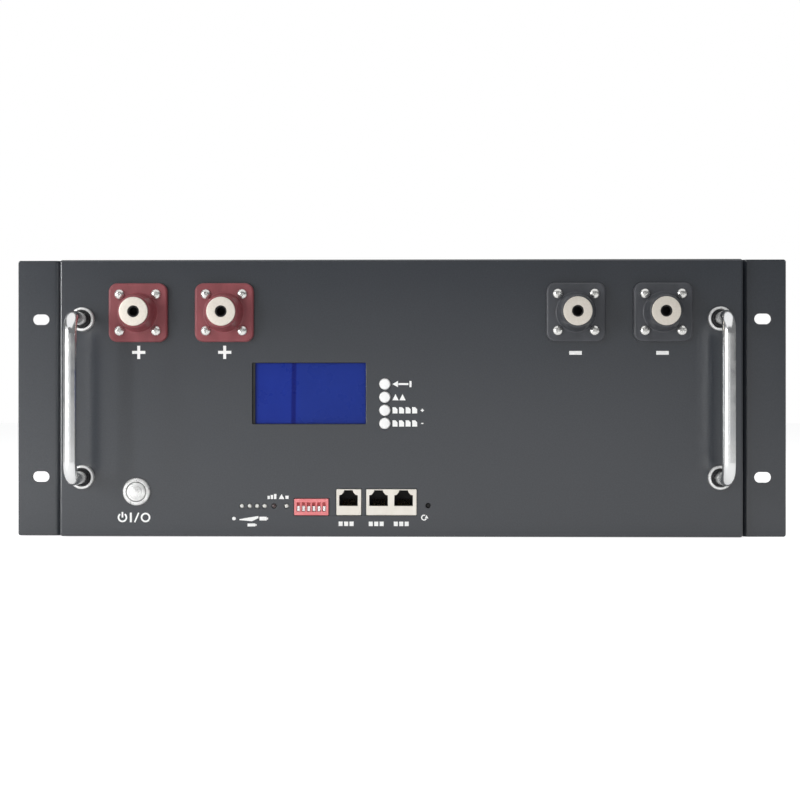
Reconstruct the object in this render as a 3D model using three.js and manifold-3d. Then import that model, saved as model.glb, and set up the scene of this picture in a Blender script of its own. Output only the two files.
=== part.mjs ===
// Server rack battery, 4 rack units high: a sheet-metal case that holds sixteen prismatic
// cells, with power terminals, carry handles, a display and data sockets on its front.
// Millimetres. +X is right, +Z is up, and the front faces -Y. The parts are drawn with the
// front panel's face at y = 0, and the whole group is then moved so that the origin lies
// under the middle of the battery.
import * as THREE from 'three';
import { mergeVertices } from 'three/addons/utils/BufferGeometryUtils.js';
import Module from 'manifold-3d';

const wasm = await Module();
wasm.setup();

// ---- Driving dimensions -----------------------------------------------------------------
const GAP = 0.3;                 // between pieces that touch
const RACK_UNIT = 44.45;
const HEIGHT = 4 * RACK_UNIT;    // 4U
const CASE_WIDTH = 438;
const CASE_BACK = 420;           // y of the case's back face
const SHEET = 1.5;               // case sheet thickness
const SIDE = CASE_WIDTH / 2;     // x of the case's side faces

const PANEL = { thickness: 2, depth: 18, bevel: 0.8 };

const EAR = {
  outerX: 247.3, frontY: 7, thickness: 2, bendRadius: 4.4, sideLength: 90,
  slotX: 232.55, slotZ: [38.1, 139.7], slotLength: 10.8, slotHeight: 6.8,
};

const HANDLE = {
  x: 204.2, footZ: [38.2, 139.6], tubeRadius: 4.15, reach: 41.5, bendRadius: 12,
};
const FERRULE = {
  outerRadius: 7.7, rimWidth: 1.9, rimHeight: 3.4, collarRadius: 5.4, collarHeight: 4.8,
};

const TERMINAL = {
  x: [-167.8, -112.4, 112.4, 167.8], z: 143.7,
  flange: 37.6, flangeCorner: 5.5, flangeThickness: 4.8,
  bossBaseRadius: 12.2, bossTopRadius: 10.4, bossLength: 15.6,
  screwPitch: 23.4, screwHoleRadius: 2.2,
  shankRadius: 7, discRadius: 9.15, discThickness: 1.8, boltRadius: 3.4, boltDepth: 14,
  innerEnd: 16,
};

const LCD = { x0: -94.8, x1: -21.6, z0: 72.2, z1: 111.7, overlap: 3, glass: 1.2 };
const LCD_BOARD = { margin: 7, thickness: 7.5 };

const MENU_BUTTON = {
  x: -9.6, z: [97.9, 89.5, 81.1, 72.7],
  radius: 3.5, flangeRadius: 4.05, stemRadius: 1.8, proud: 1.8, stemEnd: 6.5,
};

const SWITCH = {
  x: -169.2, z: 28.8, bezelRadius: 8.8, bezelHeight: 2.2, barrelRadius: 7.8, barrelEnd: 30,
  buttonRadius: 6.1, buttonProud: 1.2, buttonLength: 9, boreDepth: 14, nutAcrossFlats: 20,
  nutThickness: 4,
};

const LED = {
  x: [-101.4, -96.4, -91.6, -86.8, -80.7, -72.7], z: 19.7, radius: 1.25, proud: 0.4,
};
const LIGHT_PIPE_BAR = { y0: 4, y1: 8, height: 4, margin: 3 };

const DIP = {
  x: -56.7, z: 19.1, width: 22, height: 10.6, proud: 1,
  levers: 6, pitch: 3.3, slotWidth: 2.4, slotHeight: 6, slotDepth: 2.4,
  leverWidth: 1.8, leverHeight: 3.3, leverLength: 1.9,
};

const JACK = {
  z0: 13.9, z1: 30.5, proud: 0.5, back: 14.2, socketDepth: 12.5,
  single: { x: -32.7, width: 15.9, sockets: [-32.95] },
  double: { x: -5.4, width: 32.2, sockets: [-13.65, 2.4] },
  // Half outline of the socket: [half width, z], from its floor up to the latch notch.
  socketOutline: [[5.95, 19.8], [5.95, 26.6], [4.4, 27], [3.1, 28.6], [2.7, 29.9]],
};

const RESET = { x: 18.1, z: 20.1, radius: 1.25, flangeRadius: 2.2, recess: 1.2, end: 8 };
const HOLE_CLEARANCE = 0.4;      // radial, between a panel hole and the piece in it

const INTERFACE_BOARD = { x0: -112, x1: 26, z0: 7, z1: 38, y: 14.5, thickness: 1.6 };
const BMS = { x0: 34, x1: 196, z0: 22, z1: 124, y: 38, thickness: 1.6 };
const HEAT_SINK = { inset: 8, base: 4, finHeight: 10, finThickness: 2, finPitch: 8 };

const CELL = {
  thickness: 50, width: 160, height: 118, gap: 0.8, perRow: 8, floorGap: 3,
  rowCentreY: [155, 321], terminalRadius: 7, terminalHeight: 3, terminalOffset: 52,
};
const CARRIER = { thickness: 3, barThickness: 2.5, barWidth: 22 };

// ---- Finishes -----------------------------------------------------------------------------
const finish = (color, roughness, metalness) => ({ color, roughness, metalness });
const POWDER_COAT = finish(0x3f4246, 0.5, 0.2);
const CHROME = finish(0xd9dadb, 0.08, 1);
const SATIN_NICKEL = finish(0xd8d2c6, 0.35, 1);
const POLISHED_STEEL = finish(0xd0d2d4, 0.2, 1);
const RED_PLASTIC = finish(0x6e2a30, 0.45, 0);
const BLACK_PLASTIC = finish(0x1c1d1f, 0.45, 0);
const WHITE_PLASTIC = finish(0xefefec, 0.4, 0);
const BLUE_DISPLAY = finish(0x25378e, 0.15, 0);
const DIP_RED = finish(0xc03a40, 0.4, 0);
const IVORY_PLASTIC = finish(0xe4dccb, 0.4, 0);
const CLEAR_PLASTIC = finish(0xe8e8e4, 0.1, 0);
const CIRCUIT_BOARD = finish(0x1f5a34, 0.5, 0);
const BARE_ALUMINIUM = finish(0xb4b6b8, 0.4, 1);
const CELL_BLUE = finish(0x2c5f9e, 0.5, 0);

// ---- Solids ---------------------------------------------------------------------------------
function toManifold(geometry) {
  const bare = geometry.index ? geometry.clone() : geometry;
  bare.deleteAttribute('normal');
  bare.deleteAttribute('uv');
  const merged = mergeVertices(bare, 1e-4);
  return new wasm.Manifold(new wasm.Mesh({
    numProp: 3,
    vertProperties: new Float32Array(merged.attributes.position.array),
    triVerts: new Uint32Array(merged.index.array),
  }));
}

function toGeometry(solid) {
  const { vertProperties, triVerts } = solid.getMesh();
  const geometry = new THREE.BufferGeometry();
  geometry.setAttribute('position', new THREE.BufferAttribute(vertProperties, 3));
  geometry.setIndex(new THREE.BufferAttribute(triVerts, 1));
  geometry.computeVertexNormals();
  return geometry;
}

const union = (geometries) => toGeometry(
  geometries.map(toManifold).reduce((whole, piece) => whole.add(piece)));

const cut = (geometry, tools) => toGeometry(
  tools.map(toManifold).reduce((whole, tool) => whole.subtract(tool), toManifold(geometry)));

const overlap = (first, second) => toGeometry(
  toManifold(first).intersect(toManifold(second)));

function box(x0, x1, y0, y1, z0, z1) {
  const geometry = new THREE.BoxGeometry(x1 - x0, y1 - y0, z1 - z0);
  return geometry.translate((x0 + x1) / 2, (y0 + y1) / 2, (z0 + z1) / 2);
}

// A round bar along Y, or a cone when the two radii differ.
function barY(x, z, y0, y1, radius, segments = 24, backRadius = radius) {
  const geometry = new THREE.CylinderGeometry(backRadius, radius, y1 - y0, segments);
  return geometry.translate(x, (y0 + y1) / 2, z);
}

function barZ(x, y, z0, z1, radius, segments) {
  const geometry = new THREE.CylinderGeometry(radius, radius, z1 - z0, segments);
  return geometry.rotateX(Math.PI / 2).translate(x, y, (z0 + z1) / 2);
}

// A flat outline in X and Z, as thick as y0 to y1.
function plate(shape, y0, y1, curveSegments = 6) {
  const options = { depth: y1 - y0, bevelEnabled: false, curveSegments };
  return new THREE.ExtrudeGeometry(shape, options).rotateX(Math.PI / 2).translate(0, y1, 0);
}

function roundedRectangle(x0, x1, z0, z1, radius) {
  const shape = new THREE.Shape();
  shape.moveTo(x0 + radius, z0);
  shape.lineTo(x1 - radius, z0);
  shape.absarc(x1 - radius, z0 + radius, radius, -Math.PI / 2, 0, false);
  shape.lineTo(x1, z1 - radius);
  shape.absarc(x1 - radius, z1 - radius, radius, 0, Math.PI / 2, false);
  shape.lineTo(x0 + radius, z1);
  shape.absarc(x0 + radius, z1 - radius, radius, Math.PI / 2, Math.PI, false);
  shape.lineTo(x0, z0 + radius);
  shape.absarc(x0 + radius, z0 + radius, radius, Math.PI, Math.PI * 1.5, false);
  return shape;
}

// A ring turned about a Y axis. The outline is [radius, y] points and closes on itself.
function turnedRing(x, z, outline, segments = 20) {
  const points = [...outline, outline[0]].map(([radius, y]) => new THREE.Vector2(radius, y));
  return new THREE.LatheGeometry(points, segments).translate(x, 0, z);
}

// ---- The group ------------------------------------------------------------------------------
const assembly = new THREE.Group();

function add(name, geometry, look) {
  const mesh = new THREE.Mesh(geometry, new THREE.MeshStandardMaterial(look));
  mesh.name = name;
  assembly.add(mesh);
}

// ---- Case -----------------------------------------------------------------------------------
const TRAY_FRONT = PANEL.depth + GAP;
const COVER_TOP = HEIGHT;
const TRAY_TOP = COVER_TOP - SHEET - GAP;

function chassisTray() {
  const lipWidth = 12;           // the folded edges that the cover rests on
  const tongueFront = 6;         // the front tongues lie inside the panel's flanges
  const tongueBack = 34;
  const tongueX = SIDE - SHEET - GAP;
  const walls = [
    box(-SIDE, SIDE, TRAY_FRONT, CASE_BACK, 0, SHEET),
    box(-SIDE, SIDE, CASE_BACK - SHEET, CASE_BACK, 0, TRAY_TOP),
    box(-SIDE, SIDE, CASE_BACK - lipWidth, CASE_BACK, TRAY_TOP - SHEET, TRAY_TOP),
    box(-tongueX + 20, tongueX - 20, tongueFront, TRAY_FRONT + 1, SHEET + GAP, 2 * SHEET + GAP),
    box(-tongueX + 20, tongueX - 20, TRAY_FRONT, tongueBack, SHEET / 2, 2 * SHEET + GAP),
  ];
  for (const side of [-1, 1]) {
    const wallX = [side * SIDE, side * (SIDE - SHEET)].sort((a, b) => a - b);
    const lipX = [side * SIDE, side * (SIDE - lipWidth)].sort((a, b) => a - b);
    const tongue = [side * tongueX, side * (tongueX - SHEET)].sort((a, b) => a - b);
    const joggle = [side * (SIDE - SHEET / 2), side * (tongueX - SHEET)].sort((a, b) => a - b);
    walls.push(box(...wallX, TRAY_FRONT, CASE_BACK, 0, TRAY_TOP));
    walls.push(box(...lipX, TRAY_FRONT, CASE_BACK, TRAY_TOP - SHEET, TRAY_TOP));
    walls.push(box(...tongue, tongueFront, TRAY_FRONT + 1, 12, HEIGHT - 12));
    walls.push(box(...joggle, TRAY_FRONT, tongueBack, 12, HEIGHT - 12));
  }
  return union(walls);
}

function topCover() {
  const sheet = box(-SIDE, SIDE, TRAY_FRONT, CASE_BACK, COVER_TOP - SHEET, COVER_TOP);
  // A stiffening fold turned down inside the tray's side lips.
  const foldX = SIDE - 15;
  const folds = [-1, 1].map((side) => box(
    side * foldX - SHEET / 2, side * foldX + SHEET / 2,
    TRAY_FRONT + 10, CASE_BACK - 20, COVER_TOP - 12, COVER_TOP - SHEET / 2));
  return union([sheet, ...folds]);
}

function frontPanel() {
  const { thickness, depth, bevel } = PANEL;
  const face = roundedRectangle(-SIDE + bevel, SIDE - bevel, bevel, HEIGHT - bevel, 0.6);
  const block = new THREE.ExtrudeGeometry(face, {
    depth: depth - bevel, bevelEnabled: true, bevelThickness: bevel, bevelSize: bevel,
    bevelSegments: 1, curveSegments: 1,
  }).rotateX(Math.PI / 2).translate(0, depth, 0);
  const hollow = box(
    -SIDE + SHEET, SIDE - SHEET, thickness, depth + 2 * bevel, SHEET, HEIGHT - SHEET);
  const backTrim = box(-SIDE - 1, SIDE + 1, depth, depth + 2 * bevel, -1, HEIGHT + 1);
  const through = [-1, thickness + 1];
  const holes = [
    plate(roundedRectangle(LCD.x0, LCD.x1, LCD.z0, LCD.z1, 0.8), ...through, 2),
    barY(SWITCH.x, SWITCH.z, ...through, SWITCH.barrelRadius + HOLE_CLEARANCE, 20),
    barY(RESET.x, RESET.z, ...through, RESET.radius + HOLE_CLEARANCE, 8),
    box(DIP.x - DIP.width / 2 - GAP, DIP.x + DIP.width / 2 + GAP, ...through,
      DIP.z - DIP.height / 2 - GAP, DIP.z + DIP.height / 2 + GAP),
  ];
  for (const x of TERMINAL.x) {
    holes.push(barY(x, TERMINAL.z, ...through, TERMINAL.shankRadius + 2, 16));
  }
  for (const z of MENU_BUTTON.z) {
    holes.push(barY(MENU_BUTTON.x, z, ...through, MENU_BUTTON.radius + GAP, 16));
  }
  for (const x of LED.x) {
    holes.push(barY(x, LED.z, ...through, LED.radius + HOLE_CLEARANCE, 8));
  }
  for (const { x, width } of [JACK.single, JACK.double]) {
    holes.push(box(
      x - width / 2 - GAP, x + width / 2 + GAP, ...through, JACK.z0 - GAP, JACK.z1 + GAP));
  }
  return cut(block, [hollow, backTrim, ...holes]);
}

// The ear's folded section in X and Y: along the case, round the bend and out to the side.
function earSection(side) {
  const { outerX, frontY, thickness, bendRadius, sideLength } = EAR;
  const innerX = SIDE + GAP;
  const bendX = innerX + bendRadius;
  const bendY = frontY + bendRadius;
  const section = new THREE.Shape();
  section.moveTo(innerX, frontY + sideLength);
  section.lineTo(innerX, bendY);
  section.absarc(bendX, bendY, bendRadius, Math.PI, Math.PI * 1.5, false);
  section.lineTo(outerX, frontY);
  section.lineTo(outerX, frontY + thickness);
  section.lineTo(bendX, frontY + thickness);
  section.absarc(bendX, bendY, bendRadius - thickness, Math.PI * 1.5, Math.PI, true);
  section.lineTo(innerX + thickness, frontY + sideLength);
  return new THREE.Shape(
    section.getPoints(5).map(({ x, y }) => new THREE.Vector2(side * x, y)));
}

function rackEar(side) {
  const { outerX, frontY, thickness, sideLength, slotX, slotZ, slotLength, slotHeight } = EAR;
  const folded = new THREE.ExtrudeGeometry(earSection(side), {
    depth: HEIGHT, bevelEnabled: false,
  });
  const blankX = [side * (SIDE - 5), side * outerX].sort((a, b) => a - b);
  const blank = plate(
    roundedRectangle(...blankX, 0, HEIGHT, 0.8), frontY - 1, frontY + sideLength + 1, 2);
  const slots = slotZ.map((z) => plate(
    roundedRectangle(side * slotX - slotLength / 2, side * slotX + slotLength / 2,
      z - slotHeight / 2, z + slotHeight / 2, slotHeight / 2 - 0.01),
    frontY - 1, frontY + thickness + 1, 4));
  return cut(overlap(folded, blank), slots);
}

// ---- Handles --------------------------------------------------------------------------------
// A bow of round bar that stands on the panel: out, along Z and back in.
function handle(x) {
  const { footZ, tubeRadius, reach, bendRadius } = HANDLE;
  const [lowZ, highZ] = footZ;
  const point = (y, z) => new THREE.Vector3(x, y, z);
  const path = new THREE.CurvePath();
  const bend = (y0, z0, cornerY, cornerZ, y1, z1) => new THREE.QuadraticBezierCurve3(
    point(y0, z0), point(cornerY, cornerZ), point(y1, z1));
  path.add(new THREE.LineCurve3(point(-GAP, lowZ), point(-reach + bendRadius, lowZ)));
  path.add(bend(-reach + bendRadius, lowZ, -reach, lowZ, -reach, lowZ + bendRadius));
  path.add(new THREE.LineCurve3(
    point(-reach, lowZ + bendRadius), point(-reach, highZ - bendRadius)));
  path.add(bend(-reach, highZ - bendRadius, -reach, highZ, -reach + bendRadius, highZ));
  path.add(new THREE.LineCurve3(point(-reach + bendRadius, highZ), point(-GAP, highZ)));
  const section = new THREE.Shape().absarc(0, 0, tubeRadius, 0, 2 * Math.PI, false);
  return new THREE.ExtrudeGeometry(section, {
    steps: 26, extrudePath: path, curveSegments: 6,
  });
}

// A cupped washer: an outer rim, a sunk ring, and a collar close round the bar.
function ferrule(x, z) {
  const { outerRadius, rimWidth, rimHeight, collarRadius, collarHeight } = FERRULE;
  const bore = HANDLE.tubeRadius + GAP;
  return turnedRing(x, z, [
    [bore, -GAP],
    [bore, -collarHeight],
    [collarRadius - 0.4, -collarHeight],
    [collarRadius, -collarHeight + 0.4],
    [collarRadius, -1.2],
    [outerRadius - rimWidth, -1.2],
    [outerRadius - rimWidth + 0.3, -rimHeight],
    [outerRadius - 0.5, -rimHeight],
    [outerRadius, -rimHeight + 0.6],
    [outerRadius, -GAP],
  ]);
}

// ---- Power terminals ------------------------------------------------------------------------
function terminalHousing(x) {
  const t = TERMINAL;
  const half = t.flange / 2;
  const face = -GAP - t.flangeThickness;
  const flange = plate(
    roundedRectangle(x - half, x + half, t.z - half, t.z + half, t.flangeCorner),
    face, -GAP, 4);
  const boss = barY(
    x, t.z, face - t.bossLength, face + 1, t.bossTopRadius, 24, t.bossBaseRadius);
  const tools = [barY(x, t.z, -40, 5, t.shankRadius + GAP, 20)];
  for (const sideX of [-1, 1]) {
    for (const sideZ of [-1, 1]) {
      const screwX = x + (sideX * t.screwPitch) / 2;
      const screwZ = t.z + (sideZ * t.screwPitch) / 2;
      tools.push(barY(screwX, screwZ, -10, 5, t.screwHoleRadius, 8));
    }
  }
  return cut(union([flange, boss]), tools);
}

function terminalPost(x) {
  const t = TERMINAL;
  const bossFace = -GAP - t.flangeThickness - t.bossLength;
  const discBack = bossFace - GAP;
  const discFace = discBack - t.discThickness;
  const disc = barY(x, t.z, discFace, discBack, t.discRadius);
  const shank = barY(x, t.z, discBack - 0.5, t.innerEnd, t.shankRadius, 20);
  const boltHole = barY(x, t.z, discFace - 1, discFace + t.boltDepth, t.boltRadius, 12);
  return cut(union([disc, shank]), [boltHole]);
}

// ---- Display and menu buttons ---------------------------------------------------------------
function lcdWindow() {
  const { x0, x1, z0, z1, overlap, glass } = LCD;
  const y0 = PANEL.thickness + GAP;
  return box(x0 - overlap, x1 + overlap, y0, y0 + glass, z0 - overlap, z1 + overlap);
}

function lcdModule() {
  const { x0, x1, z0, z1, glass } = LCD;
  const { margin, thickness } = LCD_BOARD;
  const y0 = PANEL.thickness + 2 * GAP + glass;
  const screen = box(x0 - 2, x1 + 2, y0, y0 + 4, z0 - 2, z1 + 2);
  const board = box(
    x0 - margin, x1 + 4, y0 + 3, y0 + thickness, z0 - margin, z1 + margin);
  return union([screen, board]);
}

function menuButton(z) {
  const { x, radius, flangeRadius, stemRadius, proud, stemEnd } = MENU_BUTTON;
  const flangeFront = PANEL.thickness + GAP;
  const capEdge = barY(x, z, -proud, -proud + 0.5, radius - 0.5, 16, radius);
  const cap = barY(x, z, -proud + 0.5, flangeFront + 0.2, radius, 16);
  const flange = barY(x, z, flangeFront, flangeFront + 1, flangeRadius, 16);
  const stem = barY(x, z, flangeFront + 0.5, stemEnd, stemRadius, 8);
  return union([capEdge, cap, flange, stem]);
}

// ---- Power switch ---------------------------------------------------------------------------
function switchBody() {
  const s = SWITCH;
  const bezelEdge = barY(
    s.x, s.z, -GAP - s.bezelHeight, -GAP - s.bezelHeight + 0.8, s.bezelRadius - 0.8, 24,
    s.bezelRadius);
  const bezel = barY(s.x, s.z, -GAP - s.bezelHeight + 0.8, -GAP, s.bezelRadius);
  const barrel = barY(s.x, s.z, -GAP - 0.5, s.barrelEnd, s.barrelRadius);
  const bore = barY(s.x, s.z, -10, -GAP - s.bezelHeight + s.boreDepth, s.buttonRadius + GAP);
  return cut(union([bezelEdge, bezel, barrel]), [bore]);
}

function switchButton() {
  const s = SWITCH;
  const face = -GAP - s.bezelHeight - s.buttonProud;
  const edge = barY(s.x, s.z, face, face + 0.6, s.buttonRadius - 0.6, 24, s.buttonRadius);
  const plunger = barY(s.x, s.z, face + 0.6, face + s.buttonLength, s.buttonRadius);
  return union([edge, plunger]);
}

function switchNut() {
  const s = SWITCH;
  const y0 = PANEL.thickness + GAP;
  const hexRadius = s.nutAcrossFlats / Math.sqrt(3);
  const hex = barY(s.x, s.z, y0, y0 + s.nutThickness, hexRadius, 6);
  const bore = barY(s.x, s.z, y0 - 1, y0 + s.nutThickness + 1, s.barrelRadius + GAP);
  return cut(hex, [bore]);
}

// ---- Indicators, DIP switch, sockets and reset ----------------------------------------------
function lightPipe() {
  const { y0, y1, height, margin } = LIGHT_PIPE_BAR;
  const first = Math.min(...LED.x) - margin;
  const last = Math.max(...LED.x) + margin - 1;
  const bar = box(first, last, y0, y1, LED.z - height / 2, LED.z + height / 2);
  const rods = LED.x.map((x) => barY(x, LED.z, -LED.proud, y0 + 1, LED.radius, 12));
  return union([bar, ...rods]);
}

const leverX = (index) => DIP.x + (index - (DIP.levers - 1) / 2) * DIP.pitch;
const dipSlotBottom = DIP.z - DIP.slotHeight / 2;

function dipBody() {
  const body = box(
    DIP.x - DIP.width / 2, DIP.x + DIP.width / 2, -DIP.proud, INTERFACE_BOARD.y - GAP,
    DIP.z - DIP.height / 2, DIP.z + DIP.height / 2);
  const slots = [];
  for (let i = 0; i < DIP.levers; i += 1) {
    slots.push(box(
      leverX(i) - DIP.slotWidth / 2, leverX(i) + DIP.slotWidth / 2,
      -DIP.proud - 1, -DIP.proud + DIP.slotDepth,
      dipSlotBottom, dipSlotBottom + DIP.slotHeight));
  }
  return cut(body, slots);
}

function dipLever(index) {
  const x = leverX(index);
  const y0 = -DIP.proud + 0.2;
  const z0 = dipSlotBottom + GAP;
  return box(
    x - DIP.leverWidth / 2, x + DIP.leverWidth / 2, y0, y0 + DIP.leverLength,
    z0, z0 + DIP.leverHeight);
}

function socketShape(x) {
  const right = JACK.socketOutline;
  const left = [...right].reverse().map(([halfWidth, z]) => [-halfWidth, z]);
  const points = [...right, ...left].map(([dx, z]) => new THREE.Vector2(x + dx, z));
  return new THREE.Shape(points);
}

function jack({ x, width, sockets }) {
  const body = box(x - width / 2, x + width / 2, -JACK.proud, JACK.back, JACK.z0, JACK.z1);
  const tools = sockets.map((socketX) => plate(
    socketShape(socketX), -JACK.proud - 1, -JACK.proud + JACK.socketDepth));
  return cut(body, tools);
}

function resetButton() {
  const { x, z, radius, flangeRadius, recess, end } = RESET;
  const flangeFront = PANEL.thickness + GAP;
  const pin = barY(x, z, recess, end, radius, 12);
  const flange = barY(x, z, flangeFront, flangeFront + 1, flangeRadius, 12);
  return union([pin, flange]);
}

// ---- Boards ---------------------------------------------------------------------------------
function interfaceBoard() {
  const b = INTERFACE_BOARD;
  return box(b.x0, b.x1, b.y, b.y + b.thickness, b.z0, b.z1);
}

function bmsBoard() {
  return box(BMS.x0, BMS.x1, BMS.y, BMS.y + BMS.thickness, BMS.z0, BMS.z1);
}

function heatSink() {
  const { inset, base, finHeight, finThickness, finPitch } = HEAT_SINK;
  const back = BMS.y - GAP;
  const x0 = BMS.x0 + inset;
  const x1 = BMS.x1 - inset;
  const z0 = BMS.z0 + inset;
  const z1 = BMS.z1 - inset;
  const pieces = [box(x0, x1, back - base, back, z0, z1)];
  for (let x = x0; x + finThickness <= x1; x += finPitch) {
    pieces.push(box(x, x + finThickness, back - base - finHeight, back - base + 1, z0, z1));
  }
  return union(pieces);
}

// ---- Cells ----------------------------------------------------------------------------------
const cellFloor = SHEET + CELL.floorGap;
const cellTop = cellFloor + CELL.height;
const cellX = (index) => (index - (CELL.perRow - 1) / 2) * (CELL.thickness + CELL.gap);

function cell(x, y) {
  const body = box(
    x - CELL.thickness / 2, x + CELL.thickness / 2, y - CELL.width / 2, y + CELL.width / 2,
    cellFloor, cellTop);
  const terminals = [-1, 1].map((side) => barZ(
    x, y + side * CELL.terminalOffset, cellTop - 1, cellTop + CELL.terminalHeight,
    CELL.terminalRadius, 8));
  return union([body, ...terminals]);
}

// An insulating tray over one row of cells, with the bars that join neighbours in series.
function busbarCarrier(y) {
  const x1 = cellX(CELL.perRow - 1) + CELL.thickness / 2 - 2;
  const z0 = cellTop + CELL.terminalHeight + GAP;
  const top = z0 + CARRIER.thickness;
  const pieces = [box(-x1, x1, y - CELL.width / 2 + 4, y + CELL.width / 2 - 4, z0, top)];
  for (let i = 0; i + 1 < CELL.perRow; i += 1) {
    const barY0 = y + (i % 2 ? -1 : 1) * CELL.terminalOffset - CARRIER.barWidth / 2;
    pieces.push(box(
      cellX(i) - 12, cellX(i + 1) + 12, barY0, barY0 + CARRIER.barWidth,
      top - 0.5, top + CARRIER.barThickness));
  }
  return union(pieces);
}

// ---- Assembly -------------------------------------------------------------------------------
add('chassis_tray', chassisTray(), POWDER_COAT);
add('top_cover', topCover(), POWDER_COAT);
add('front_panel', frontPanel(), POWDER_COAT);

for (const [name, side] of [['left', -1], ['right', 1]]) {
  add(`rack_ear_${name}`, rackEar(side), POWDER_COAT);
  add(`handle_${name}`, handle(side * HANDLE.x), CHROME);
  add(`ferrule_${name}_lower`, ferrule(side * HANDLE.x, HANDLE.footZ[0]), CHROME);
  add(`ferrule_${name}_upper`, ferrule(side * HANDLE.x, HANDLE.footZ[1]), CHROME);
}

TERMINAL.x.forEach((x, index) => {
  const polarity = x < 0 ? 'positive' : 'negative';
  const place = `${polarity}_${(index % 2) + 1}`;
  add(`terminal_housing_${place}`, terminalHousing(x), x < 0 ? RED_PLASTIC : BLACK_PLASTIC);
  add(`terminal_post_${place}`, terminalPost(x), SATIN_NICKEL);
});

add('lcd_window', lcdWindow(), BLUE_DISPLAY);
add('lcd_module', lcdModule(), CIRCUIT_BOARD);
MENU_BUTTON.z.forEach((z, index) => {
  add(`menu_button_${index + 1}`, menuButton(z), WHITE_PLASTIC);
});

add('power_switch_body', switchBody(), POLISHED_STEEL);
add('power_switch_button', switchButton(), POLISHED_STEEL);
add('power_switch_nut', switchNut(), BARE_ALUMINIUM);

add('led_light_pipe', lightPipe(), CLEAR_PLASTIC);
add('dip_switch_body', dipBody(), DIP_RED);
for (let i = 0; i < DIP.levers; i += 1) {
  add(`dip_lever_${i + 1}`, dipLever(i), WHITE_PLASTIC);
}
add('data_socket_single', jack(JACK.single), IVORY_PLASTIC);
add('data_socket_double', jack(JACK.double), IVORY_PLASTIC);
add('reset_button', resetButton(), BLACK_PLASTIC);

add('interface_board', interfaceBoard(), CIRCUIT_BOARD);
add('bms_board', bmsBoard(), CIRCUIT_BOARD);
add('bms_heat_sink', heatSink(), BARE_ALUMINIUM);

CELL.rowCentreY.forEach((y, row) => {
  for (let i = 0; i < CELL.perRow; i += 1) {
    const number = String(row * CELL.perRow + i + 1).padStart(2, '0');
    add(`cell_${number}`, cell(cellX(i), y), CELL_BLUE);
  }
  add(`busbar_carrier_${row === 0 ? 'front' : 'rear'}`, busbarCarrier(y), BLACK_PLASTIC);
});

// The origin goes under the middle of the battery, handles included.
const frontmost = -HANDLE.reach - HANDLE.tubeRadius;
assembly.position.y = -(frontmost + CASE_BACK) / 2;

export default assembly;
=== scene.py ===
"""Looks for a 4U server rack battery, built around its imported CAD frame."""

import math

import bmesh
import bpy
from mathutils import Matrix, Vector
from mathutils.geometry import delaunay_2d_cdt


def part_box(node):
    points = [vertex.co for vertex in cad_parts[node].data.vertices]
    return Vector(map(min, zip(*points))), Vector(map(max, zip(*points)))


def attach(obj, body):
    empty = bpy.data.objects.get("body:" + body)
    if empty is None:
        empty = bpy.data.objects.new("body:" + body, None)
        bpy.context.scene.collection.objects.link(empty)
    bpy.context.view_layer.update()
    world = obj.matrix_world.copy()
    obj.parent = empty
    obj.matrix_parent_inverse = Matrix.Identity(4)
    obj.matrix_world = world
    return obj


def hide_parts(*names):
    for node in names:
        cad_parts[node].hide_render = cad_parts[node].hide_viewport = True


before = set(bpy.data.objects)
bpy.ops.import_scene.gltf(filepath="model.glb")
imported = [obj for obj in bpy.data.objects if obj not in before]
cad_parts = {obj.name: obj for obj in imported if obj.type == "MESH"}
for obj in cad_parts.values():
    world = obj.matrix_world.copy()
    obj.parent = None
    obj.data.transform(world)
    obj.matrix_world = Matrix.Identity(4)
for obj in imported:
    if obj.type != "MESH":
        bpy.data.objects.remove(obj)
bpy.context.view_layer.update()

MM = 0.001
CASE = "case"                     # the body that doesn't move

# --- Places, all read from the frame ---


def span(node):
    low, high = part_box(node)
    return Vector(low), Vector(high)


def middle(node):
    low, high = span(node)
    return (low + high) / 2


PANEL_LOW, PANEL_HIGH = span("front_panel")
FACE_Y = PANEL_LOW.y
HALF_WIDTH = PANEL_HIGH.x
HEIGHT = PANEL_HIGH.z
EAR_LOW, EAR_HIGH = span("rack_ear_right")
TRAY_HIGH = span("chassis_tray")[1]
COVER_LOW, COVER_HIGH = span("top_cover")

SHEET = 1.5 * MM
PANEL_SHEET = 2.0 * MM
EAR_SHEET = 2.0 * MM
GAP = 0.3 * MM

SIDES = {"left": -1, "right": 1}
LEVELS = ("lower", "upper")
TERMINALS = ("positive_1", "positive_2", "negative_1", "negative_2")
MENU_BUTTONS = range(1, 5)
DIP_LEVERS = range(1, 7)
CELLS = range(1, 17)
LCD_OVERLAP = 3.0 * MM
SLOT_SPACING = 101.6 * MM
SLOT_X = 232.55 * MM
SLOT_LENGTH = 10.8 * MM
SLOT_HEIGHT = 6.8 * MM

# Indicator lights, counted from the left end of the light pipe's bar.
PIPE_LOW, PIPE_HIGH = span("led_light_pipe")
LED_OFFSETS = (3.0, 8.0, 12.8, 17.6, 23.7, 31.7)
LED_X = [PIPE_LOW.x + offset * MM for offset in LED_OFFSETS]
LED_Z = (PIPE_LOW.z + PIPE_HIGH.z) / 2
UNLIT_LED = 4

# Data sockets, in mm: each opening's offset from the left edge of its housing, and the right
# half of its outline, as half width and height over the housing's lower edge.
SOCKETS = {"data_socket_single": (7.7,), "data_socket_double": (7.85, 23.9)}
SOCKET_OUTLINE = ((5.95, 5.9), (5.95, 12.7), (4.4, 13.1), (3.1, 14.7), (2.7, 16.0))

# --- Mesh building. An outline is a function: it takes how far to grow and returns (u, v) points.
# A profile is a list of (growth, depth) pairs.

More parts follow.
